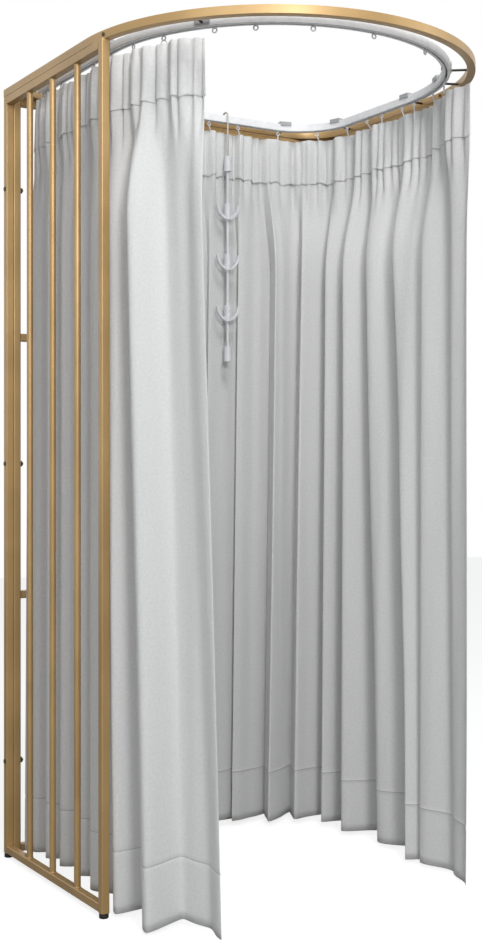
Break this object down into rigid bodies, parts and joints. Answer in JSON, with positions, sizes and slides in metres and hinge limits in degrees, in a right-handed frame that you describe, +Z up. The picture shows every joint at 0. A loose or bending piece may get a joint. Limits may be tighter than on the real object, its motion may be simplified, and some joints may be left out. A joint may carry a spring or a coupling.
{
  "type": "portable fitting room",
  "caption": "Free-standing changing cubicle: gold square-tube frame with a half-round hoop, an inner curtain track, grey curtains and a hanging strip of double hooks.",
  "frame": {"origin": "on the floor, under the middle of the plan", "axes": "+Z up, +Y towards the square back, -Y towards the doorway in the half-round front, +X to the right seen from the doorway"},
  "size_m": [1.0146, 1.006, 2.0121],
  "materials": {
    "gold_paint": "satin gold paint on square steel tube and round bar",
    "dark_steel": "dull grey-brown zinc",
    "foot_plastic": "near-black moulded plastic",
    "white_plastic": "white moulded plastic",
    "grey_plastic": "light grey moulded plastic",
    "cloth": "pale grey woven cloth with a soft matt face"
  },
  "bodies": {
    "frame": {"back_bottom_rail": "gold_paint", "back_left_bracket": "grey_plastic", "back_left_post": "gold_paint", "back_lower_rail": "gold_paint", "back_right_bracket": "grey_plastic", "back_right_post": "gold_paint", "back_top_rail": "gold_paint", "back_upper_rail": "gold_paint", "left_bar_1": "gold_paint", "left_bar_2": "gold_paint", "left_bar_3": "gold_paint", "left_bottom_rail": "gold_paint", "left_curtain": "cloth", "left_front_bracket": "grey_plastic", "left_front_post": "gold_paint", "left_lower_bolt": "dark_steel", "left_middle_bolt": "dark_steel", "left_middle_bracket": "grey_plastic", "left_rear_bracket": "grey_plastic", "left_rear_post": "gold_paint", "left_top_rail": "gold_paint", "left_upper_bolt": "dark_steel", "right_arc_bracket": "grey_plastic", "right_bar_1": "gold_paint", "right_bar_2": "gold_paint", "right_bar_3": "gold_paint", "right_bottom_rail": "gold_paint", "right_curtain": "cloth", "right_front_bracket": "grey_plastic", "right_front_post": "gold_paint", "right_lower_bolt": "dark_steel", "right_middle_bolt": "dark_steel", "right_middle_bracket": "grey_plastic", "right_rear_bracket": "grey_plastic", "right_rear_post": "gold_paint", "right_top_rail": "gold_paint", "right_upper_bolt": "dark_steel", "ring_back": "gold_paint", "ring_front": "gold_paint", "ring_left": "gold_paint", "ring_left_bolt": "dark_steel", "ring_right": "gold_paint", "ring_right_bolt": "dark_steel", "track": "white_plastic"},
    "left_lead_runner": {"left_lead_runner": "white_plastic"},
    "right_lead_runner": {"right_lead_runner": "white_plastic"},
    "spare_runner_1": {"spare_runner_1": "white_plastic"},
    "spare_runner_2": {"spare_runner_2": "white_plastic"},
    "spare_runner_3": {"spare_runner_3": "white_plastic"},
    "spare_runner_4": {"spare_runner_4": "white_plastic"},
    "spare_runner_5": {"spare_runner_5": "white_plastic"},
    "strip_hook": {"strip_hook": "dark_steel"},
    "hook_strip": {"hook_strip": "white_plastic"},
    "upper_double_hook": {"upper_double_hook": "white_plastic"},
    "middle_double_hook": {"middle_double_hook": "white_plastic"},
    "lower_double_hook": {"lower_double_hook": "white_plastic"},
    "left_front_foot": {"left_front_foot": "foot_plastic"},
    "left_rear_foot": {"left_rear_foot": "foot_plastic"},
    "right_front_foot": {"right_front_foot": "foot_plastic"},
    "right_rear_foot": {"right_rear_foot": "foot_plastic"}
  },
  "joints": [
    {"name": "left_curtain_draw", "type": "hinge", "parent": "frame", "child": "left_lead_runner", "pos_m": [0, 0.002, 1.99], "axis": [0, 0, 1], "range_deg": [-20, 50], "deforming": ["left_curtain"]},
    {"name": "right_curtain_draw", "type": "hinge", "parent": "frame", "child": "right_lead_runner", "pos_m": [0, 0.002, 1.99], "axis": [0, 0, -1], "range_deg": [-10, 50], "deforming": ["right_curtain"]},
    {"name": "spare_runner_1_draw", "type": "hinge", "parent": "frame", "child": "spare_runner_1", "pos_m": [0, 0.002, 1.99], "axis": [0, 0, 1], "range_deg": [-14.48, 36.2]},
    {"name": "spare_runner_2_draw", "type": "hinge", "parent": "frame", "child": "spare_runner_2", "pos_m": [0, 0.002, 1.99], "axis": [0, 0, 1], "range_deg": [-10.84, 27.1]},
    {"name": "spare_runner_3_draw", "type": "hinge", "parent": "frame", "child": "spare_runner_3", "pos_m": [0, 0.002, 1.99], "axis": [0, 0, 1], "range_deg": [-5.4, 13.5]},
    {"name": "spare_runner_4_slide", "type": "hinge", "parent": "frame", "child": "spare_runner_4", "pos_m": [0, 0.002, 1.99], "axis": [0, 0, 1], "range_deg": [-3, 4]},
    {"name": "spare_runner_5_draw", "type": "hinge", "parent": "frame", "child": "spare_runner_5", "pos_m": [0, 0.002, 1.99], "axis": [0, 0, -1], "range_deg": [-3.21, 16.05]},
    {"name": "strip_along_track", "type": "slide", "parent": "frame", "child": "strip_hook", "axis": [1, 0, 0], "range_m": [-0.1, 0.1]},
    {"name": "strip_swing", "type": "hinge", "parent": "strip_hook", "child": "hook_strip", "pos_m": [0.126, 0.41843, 1.87935], "axis": [-1, 0, 0], "range_deg": [-1, 12]},
    {"name": "upper_double_hook_turn", "type": "hinge", "parent": "hook_strip", "child": "upper_double_hook", "pos_m": [0.126, 0.41843, 1.6], "axis": [0, 0, 1], "range_deg": [-40, 40]},
    {"name": "middle_double_hook_turn", "type": "hinge", "parent": "hook_strip", "child": "middle_double_hook", "pos_m": [0.126, 0.41843, 1.6], "axis": [0, 0, 1], "range_deg": [-40, 40]},
    {"name": "lower_double_hook_turn", "type": "hinge", "parent": "hook_strip", "child": "lower_double_hook", "pos_m": [0.126, 0.41843, 1.6], "axis": [0, 0, 1], "range_deg": [-40, 40]},
    {"name": "left_front_foot_turn", "type": "hinge", "parent": "frame", "child": "left_front_foot", "pos_m": [-0.495, -0.078, 0.006], "axis": [0, 0, 1], "continuous": true},
    {"name": "left_rear_foot_turn", "type": "hinge", "parent": "frame", "child": "left_rear_foot", "pos_m": [-0.495, 0.492, 0.006], "axis": [0, 0, 1], "continuous": true},
    {"name": "right_front_foot_turn", "type": "hinge", "parent": "frame", "child": "right_front_foot", "pos_m": [0.495, -0.078, 0.006], "axis": [0, 0, 1], "continuous": true},
    {"name": "right_rear_foot_turn", "type": "hinge", "parent": "frame", "child": "right_rear_foot", "pos_m": [0.495, 0.492, 0.006], "axis": [0, 0, 1], "continuous": true}
  ],
  "couplings": [
    {"joint": "spare_runner_1_draw", "follows": "left_curtain_draw", "ratio": 0.724},
    {"joint": "spare_runner_2_draw", "follows": "left_curtain_draw", "ratio": 0.542},
    {"joint": "spare_runner_3_draw", "follows": "left_curtain_draw", "ratio": 0.27},
    {"joint": "spare_runner_5_draw", "follows": "right_curtain_draw", "ratio": 0.321}
  ]
}
